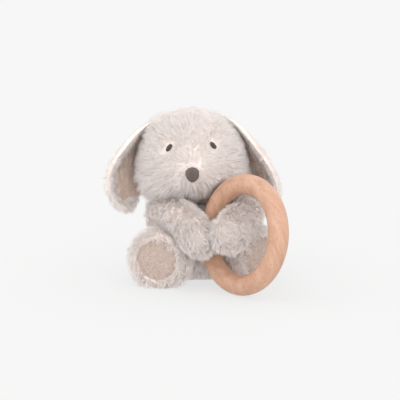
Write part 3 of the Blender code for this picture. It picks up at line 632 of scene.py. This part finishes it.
def threads(name, node, lie, step, material=THREAD, lift=0.25 * MM, dome=0.55 * MM):
    """Satin stitches side by side over a patch, each a thin round thread that dives in at both ends.
    lie turns them from upright, step is the room from one to the next, and dome the height of the pad
    under them.
    """
    patch = points_of(NODES[node])
    middle = patch.mean(axis=0)
    frame_axes = np.linalg.svd(patch - middle, full_matrices=False)[2]
    out = frame_axes[2] * -np.sign(frame_axes[2][1])
    up = unit(np.array((0, 0, 1.0)) - out * out[2])
    right = np.cross(up, out)
    if right[0] < 0:
        right = -right
    along = up * math.cos(lie) + right * math.sin(lie)
    across = right * math.cos(lie) - up * math.sin(lie)
    rel = patch - middle
    top = (rel @ out).max()
    flat = np.stack([rel @ across, rel @ along], -1)
    low, high = flat.min(axis=0), flat.max(axis=0)

    def edge(x, sign):
        """Reach of the patch's outline along the stitches, at a distance across them."""
        best = 0.0
        side_a, side_b = flat[flat[:, 0] <= x], flat[flat[:, 0] >= x]
        for p in side_a:
            share = (x - p[0]) / np.maximum(side_b[:, 0] - p[0], 1e-9)
            best = max(best, (sign * (p[1] + (side_b[:, 1] - p[1]) * share)).max())
        return best

    rng = np.random.default_rng(len(name))
    points, faces, tints, start = [], [], [], 0
    sides, steps = THREAD_SIDES, THREAD_STEPS
    radius = step * 0.62
    for x in np.arange(low[0] + step * 0.6, high[0] - step * 0.3, step):
        top_y, low_y = edge(x, 1), edge(x, -1)
        if top_y + low_y < step:
            continue
        top_y += rng.normal(0, step * 0.18)
        low_y += rng.normal(0, step * 0.18)
        shade = rng.uniform(0.2, 1.0)
        for k in range(steps):
            t = k / (steps - 1)
            y = -low_y + (top_y + low_y) * t
            arch = 1 - (2 * t - 1) ** 4
            side_arch = 1 - (x / max(abs(low[0]), abs(high[0]))) ** 2
            height = top - 0.9 * MM + lift + arch * (0.45 * MM + dome * side_arch)
            center = middle + across * x + along * y + out * height
            for j in range(sides):
                angle = 2 * math.pi * j / sides
                points.append(center + (across * math.cos(angle) + out * math.sin(angle)) * radius)
                tints.append(shade)
        for k in range(steps - 1):
            for j in range(sides):
                a = start + k * sides + j
                b = start + k * sides + (j + 1) % sides
                faces.append((a, b, b + sides, a + sides))
        start += steps * sides
    obj = new_mesh(name, np.array(points), np.array(faces))
    obj.data.attributes.new("tint", "FLOAT", "POINT").data.foreach_set("value", np.array(tints, np.float32))
    obj.data.materials.append(material)
    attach(obj, "head")
    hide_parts(node)


threads("nose_stitches", "nose", 0.0, 0.42 * MM, NOSE_THREAD, dome=0.9 * MM)
for side, turn in (("left", 0.6), ("right", -0.6)):
    threads(f"eye_{side}_stitches", f"eye_{side}", turn, 0.34 * MM)


# ------------------------------------------------------------------ pile of each part
def near(points, center, inner, outer):
    """0 within the inner distance of a center, and 1 beyond the outer one."""
    return smooth(inner, outer, np.linalg.norm(points - center, axis=1))


def head_comb(roots, normals):
    """Hair runs away from the nose, up the forehead, out over the cheeks, and off the eyes."""
    way = unit(roots - (NOSE + (0, 4 * MM, 1.5 * MM)))
    way[:, 2] -= 0.3 * smooth(HEAD_MIDDLE[2], HEAD_LOW[2], roots[:, 2])
    way = unit(way + 0.25 * np.clip((roots[:, :1] - NOSE[0]) / (5 * MM), -1, 1) * (1.0, 0, 0))
    for eye in EYES:
        off = unit(roots - eye)
        way += 1.6 * off * (1 - near(roots, eye, 2.0 * MM, 6.0 * MM))[:, None]
    return way


def head_length(roots, normals):
    """Longest on the jowls, most of all by the ring, long on the crown, short round eyes and nose."""
    x, z = roots[:, 0] - HEAD_MIDDLE[0], roots[:, 2]
    low = smooth(HEAD_MIDDLE[2] - 4 * MM, HEAD_LOW[2] + 6 * MM, z)
    high = smooth(HEAD_MIDDLE[2] + 2 * MM, HEAD_HIGH[2] - 8 * MM, z)
    found = PILE * (1.05 + 0.14 * high + 0.62 * low + 0.34 * low * smooth(2 * MM, 14 * MM, x)
                    + 0.30 * high * smooth(2 * MM, -16 * MM, x) + 0.35 * smooth(10 * MM, 20 * MM, np.abs(x)))
    for eye in EYES:
        found *= 0.46 + 0.54 * near(roots, eye, 2.0 * MM, 7 * MM)
    found *= 0.62 + 0.38 * near(roots, NOSE, 4.6 * MM, 10 * MM)
    return found


def head_keep(roots, normals):
    clear = np.ones(len(roots), bool)
    for center, half in ((NOSE, NOSE_CLEAR), (EYES[0], EYE_CLEAR), (EYES[1], EYE_CLEAR)):
        clear &= np.linalg.norm(roots - center, axis=1) > half
    return clear


def down_comb(roots, normals):
    return unit(np.array((0, 0, -1.0)) + normals * (0.3, 0.3, 0))


def limb_comb(start, end):
    """Along a limb, and a little down."""
    way = unit(np.array(end) - np.array(start))

    def comb(roots, normals):
        return np.tile(way + (0, 0, -0.25), (len(roots), 1))
    return comb


def hang_comb(roots, normals):
    return np.tile((0, 0, -1.0), (len(roots), 1))


def ear_comb(side):
    """Down the ear, and from its rim over the edge of the lining."""
    middle = node_center(f"ear_{side}_lining")

    def comb(roots, normals):
        inward = middle - roots
        inward[:, 2] = 0
        rim = smooth(0.2, -0.3, normals @ EAR_OUT[side])
        return np.array((0, 0, -1.0)) + 1.5 * unit(inward) * rim[:, None]
    return comb


def ear_length(side):
    """Longest round the lining, shorter on the outer face, and shortest at the seam."""
    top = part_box(f"ear_{side}_outer")[1][2]

    def length(roots, normals):
        below = top - roots[:, 2]
        face = 0.76 - 0.08 * smooth(-0.2, 0.8, normals @ EAR_OUT[side])
        return PILE * face * (0.40 + 0.60 * smooth(3 * MM, 18 * MM, below))
    return length


def uncovered(cover):
    """Roots that a cover lying on the surface leaves free."""
    tree = tree_of(cover)

    def keep(roots, normals):
        return np.array([tree.find_nearest(Vector(root), COVER_NEAR)[0] is None for root in roots])
    return keep


def even(length):
    """The same length all over."""
    return lambda roots, normals: np.full(len(roots), length)


def off_sole(side):
    """Roots on a foot that are clear of its sole."""
    foot, way = node_center(f"sole_{side}"), SOLE_WAY[side]

    def keep(roots, normals):
        rel = roots - foot
        aside = np.linalg.norm(rel - (rel @ way)[:, None] * way, axis=1)
        return ~((rel @ way > -SOLE_EDGE) & (aside < SOLE_CLEAR))
    return keep


def facing(way, least):
    """Roots whose surface faces a way."""
    return lambda roots, normals: normals @ way > least


everything = {"head": head, "torso": torso, "tail": tail, "neck": neck,
              **{f"arm_{s}": o for s, o in arms.items()}, **{f"leg_{s}": o for s, o in legs.items()},
              **{f"ear_{s}": o for s, o in ears.items()}, **{f"lining_{s}": o for s, o in linings.items()},
              **{f"sole_{s}": o for s, o in soles.items()}, "ring": wooden_ring}


def rest_of(*names):
    """A search tree of everything but some pieces."""
    return tree_of(*[obj for name, obj in everything.items() if name not in names])


pelt("head_pile", head, "head", head_comb, head_length, rest_of("head"), 11, keep=head_keep)
pelt("torso_pile", torso, "torso", down_comb, even(PILE * 1.25), rest_of("torso"), 12, droop=0.2)
for index, side in enumerate(SIDES):
    pelt(f"arm_{side}_pile", arms[side], "arms", limb_comb(SHOULDERS, node_center("paw_stitch")),
         even(PILE * 1.3), rest_of(f"arm_{side}"), 20 + index, droop=0.05)
    pelt(f"leg_{side}_pile", legs[side], f"leg_{side}", limb_comb((0, 0, 0), SOLE_WAY[side]),
         even(PILE * 1.3), rest_of(f"leg_{side}", f"sole_{side}"), 30 + index, keep=off_sole(side))
    pelt(f"sole_{side}_nap", soles[side], f"leg_{side}", down_comb, even(0.85 * MM), None, 40 + index,
         density=NAP_DENSITY, hair=0.22 * MM, lean=0.5, clump=0.6, clump_size=0.9 * MM, material=SOLE_NAP,
         sink=0.2 * MM, mottle=1.8 * MM, depth=0.5, keep=facing(SOLE_WAY[side], 0.2))
    inward = (-1.0 if side == "left" else 1.0, 0, 0)
    pelt(f"lining_{side}_nap", linings[side], f"ear_{side}", hang_comb, even(1.3 * MM), None, 50 + index,
         density=NAP_DENSITY, lean=1.6, clump_size=0.8 * MM, material=LINING_NAP,
         sink=0.2 * MM, mottle=2.2 * MM, stretch=(1, 1, 0.12), depth=0.7, keep=facing(inward, -0.1))
    pelt(f"ear_{side}_pile", ears[side], f"ear_{side}", ear_comb(side), ear_length(side),
         rest_of(f"ear_{side}", f"lining_{side}", "head"), 60 + index, lean=0.8, density=DENSITY * 1.25,
         keep=uncovered(linings[side]))
pelt("tail_pile", tail, "tail", limb_comb(*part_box("tail_cover")), even(PILE * 0.8), rest_of("tail"), 70)


# ------------------------------------------------------------------ hidden parts keep their CAD shape
def dress(node, material):
    mesh = NODES[node].data
    mesh.materials.clear()
    mesh.materials.append(material)


PLASTIC = plain_detail("rattle_plastic", (0.74, 0.74, 0.77), (0.82, 0.82, 0.84), 0.38, 300, 0.03)
BEAD = plain_detail("bead", (0.52, 0.08, 0.07), (0.66, 0.13, 0.11), 0.35, 500, 0.03)
dress("rattle_shell_upper", PLASTIC)
dress("rattle_shell_lower", PLASTIC)
for k in (1, 2, 3):
    dress(f"rattle_bead_{k}", BEAD)
dress("paw_stitch", TIE_THREAD)


# ------------------------------------------------------------------ camera, light and floor
DISTANCE = 0.9
ELEVATION = math.radians(10.0)
AIM = Vector((0.0007, -0.02, 0.0496))
LENS, SENSOR = 133.515, 36.0        # mm


def build_camera():
    data = bpy.data.cameras.new("camera")
    cam = bpy.data.objects.new("camera", data)
    bpy.context.scene.collection.objects.link(cam)
    data.sensor_width = SENSOR
    data.lens = LENS
    back = Vector((0, -math.cos(ELEVATION), math.sin(ELEVATION)))
    cam.location = AIM + back * DISTANCE
    cam.rotation_mode = "QUATERNION"
    cam.rotation_quaternion = (-back).to_track_quat("-Z", "Y")
    data.clip_start, data.clip_end = 0.05, 50.0
    bpy.context.scene.camera = cam


PAPER = 0.9216      # of the floor and the background, linear
FLOOR_WHITE = 0.17
WORLD_LIGHT = 1.40
FLOOR_HALF = 6.0
SUNS = {"key": (0.12, 60, -40, 30), "front": (1.55, 60, 6, 0)}    # strength, then spread, azimuth, elevation


def build_world():
    """Even light all round, with a paper-white background behind it."""
    world = bpy.data.worlds.new("studio")
    bpy.context.scene.world = world
    world.use_nodes = True
    nodes, links = world.node_tree.nodes, world.node_tree.links
    nodes.clear()
    out = nodes.new("ShaderNodeOutputWorld")
    mix = nodes.new("ShaderNodeMixShader")
    path = nodes.new("ShaderNodeLightPath")
    fill = nodes.new("ShaderNodeBackground")
    fill.inputs["Color"].default_value = (1.0, 0.995, 0.99, 1)
    fill.inputs["Strength"].default_value = WORLD_LIGHT
    seen = nodes.new("ShaderNodeBackground")
    seen.inputs["Color"].default_value = (PAPER, PAPER, PAPER, 1)
    links.new(path.outputs["Is Camera Ray"], mix.inputs[0])
    links.new(fill.outputs[0], mix.inputs[1])
    links.new(seen.outputs[0], mix.inputs[2])
    links.new(mix.outputs[0], out.inputs["Surface"])


def sun(name, strength, angle, azimuth, elevation):
    data = bpy.data.lights.new(name, "SUN")
    data.energy = strength
    data.angle = math.radians(angle)
    obj = bpy.data.objects.new(name, data)
    a, e = math.radians(azimuth), math.radians(elevation)
    toward = Vector((math.sin(a) * math.cos(e), -math.cos(a) * math.cos(e), math.sin(e)))
    obj.rotation_mode = "QUATERNION"
    obj.rotation_quaternion = toward.to_track_quat("Z", "Y")
    bpy.context.scene.collection.objects.link(obj)


def build_floor():
    """Pale paper that glows just enough to stay as bright as the background."""
    size = FLOOR_HALF
    grid = np.array([(-size, -size, 0), (size, -size, 0), (size, size, 0), (-size, size, 0)])
    obj = new_mesh("floor", grid, np.array([[0, 1, 2, 3]]))
    s = Shader("paper", 1.0, Specular_IOR_Level=0.0)
    s.main.inputs["Base Color"].default_value = (FLOOR_WHITE, FLOOR_WHITE, FLOOR_WHITE, 1)
    s.main.inputs["Emission Color"].default_value = (1, 1, 1, 1)
    lit = WORLD_LIGHT
    for strength, spread, azimuth, elevation in SUNS.values():
        lit += strength * math.sin(math.radians(elevation)) / math.pi
    s.main.inputs["Emission Strength"].default_value = PAPER - FLOOR_WHITE * lit
    obj.data.materials.append(s.mat)


build_camera()
build_world()
for sun_name, values in SUNS.items():
    sun(sun_name, *values)
build_floor()
bpy.context.scene.view_settings.view_transform = "Standard"
bpy.context.view_layer.update()
